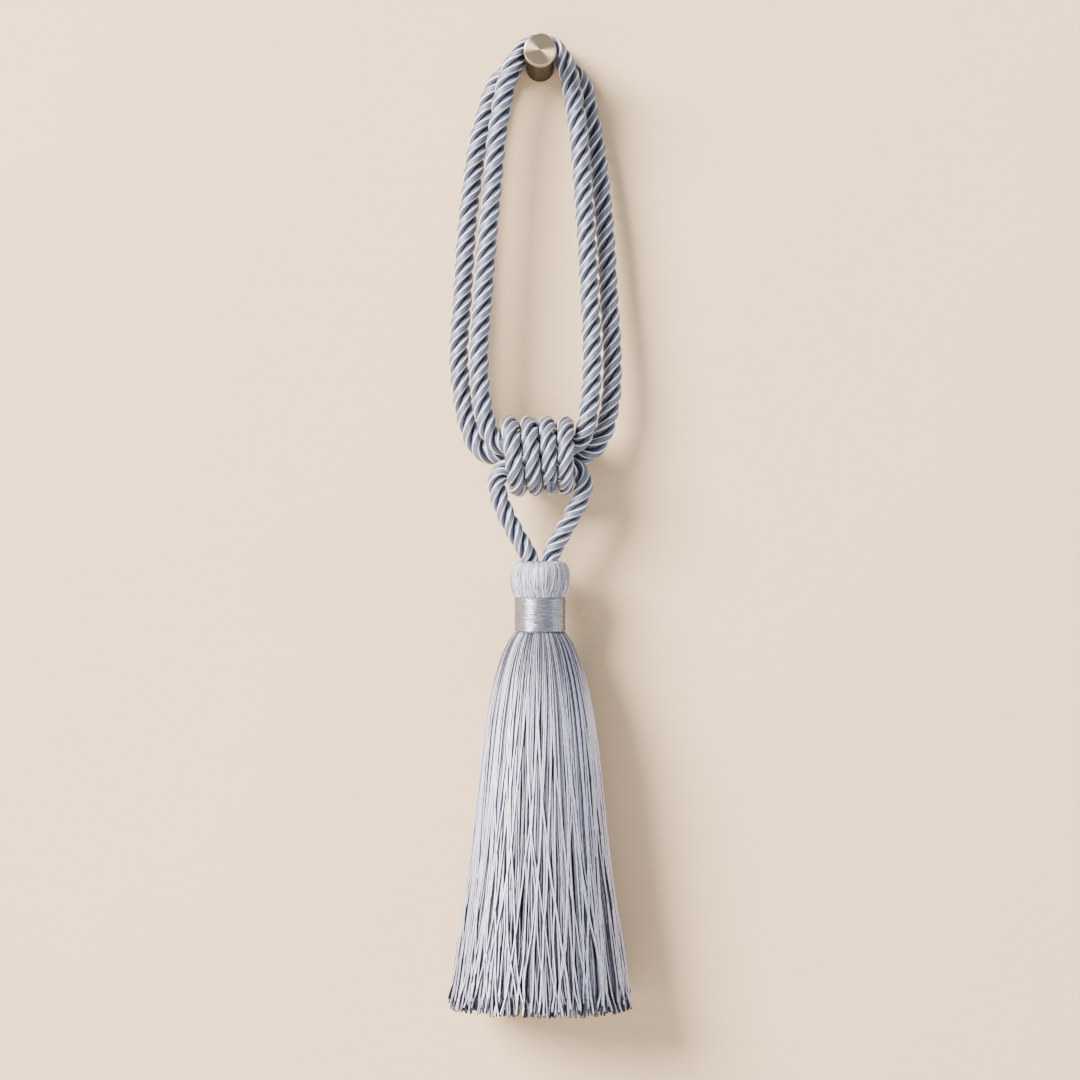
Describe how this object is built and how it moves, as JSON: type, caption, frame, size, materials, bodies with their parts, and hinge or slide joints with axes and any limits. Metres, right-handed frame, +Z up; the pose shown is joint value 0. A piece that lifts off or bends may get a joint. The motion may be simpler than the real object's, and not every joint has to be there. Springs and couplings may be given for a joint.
{
  "type": "tassel tieback on a wall knob",
  "caption": "Curtain tieback of twisted satin rope: a doubled loop over a round wall knob, a coiled rope wrap and a bound tassel with a long flared yarn skirt.",
  "frame": {"origin": "centre of the knob's back face, on the wall", "axes": "+Z up, +Y into the wall, +X to the right as seen from the room"},
  "size_m": [0.0885, 0.0538, 0.4857],
  "materials": {
    "knob_metal": "warm brushed nickel, with a spun face",
    "rope_yarn": "silver blue-grey satin yarn, twisted, with bright highlights",
    "tassel_yarn": "pale silver-grey satin yarn in fine loose strands",
    "band_thread": "fine glossy thread wound close"
  },
  "bodies": {
    "root": {"wall_knob": "knob_metal", "loop_rope_front": "rope_yarn", "loop_rope_back": "rope_yarn", "wrap_rope": "rope_yarn", "hanging_cord": "rope_yarn", "tassel_yarn": "tassel_yarn", "neck_band": "band_thread"}
  },
  "joints": []
}
